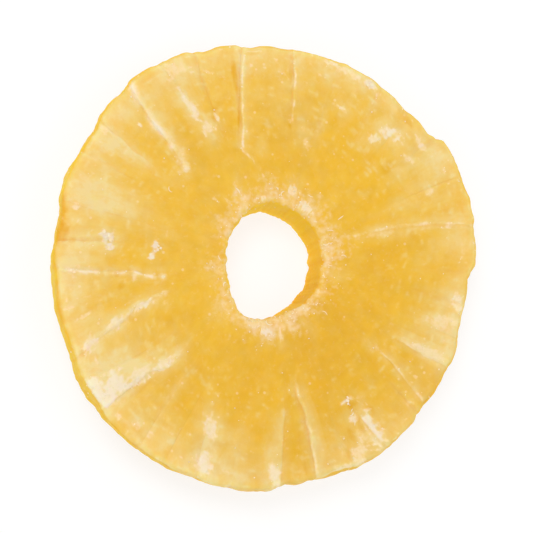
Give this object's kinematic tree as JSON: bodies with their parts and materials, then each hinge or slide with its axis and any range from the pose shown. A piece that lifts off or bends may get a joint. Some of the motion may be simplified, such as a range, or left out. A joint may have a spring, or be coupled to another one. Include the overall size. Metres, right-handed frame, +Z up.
{
  "type": "dried pineapple ring",
  "caption": "Candied and dried pineapple slice: a flat, slightly oval ring of golden flesh with fruitlet seams at its edge, a core hole and a bloom of sugar.",
  "frame": {"origin": "middle of the footprint, on the surface that the slice lies on", "axes": "+Z up through the thickness, towards the shown face; +Y near the slice's long way, with the oval of its outline turned 12 degrees off it; +X across it"},
  "size_m": [0.0762, 0.0792, 0.0093],
  "materials": {
    "candied_flesh": "translucent golden yellow flesh with a satin sheen, fine radial fibres and a pale bloom towards the edge",
    "sugar": "white to cream sugar, in crumbs, crusts and dried threads, matte with small sparkles"
  },
  "bodies": {
    "root": {"pineapple_ring": "candied_flesh"}
  },
  "joints": []
}
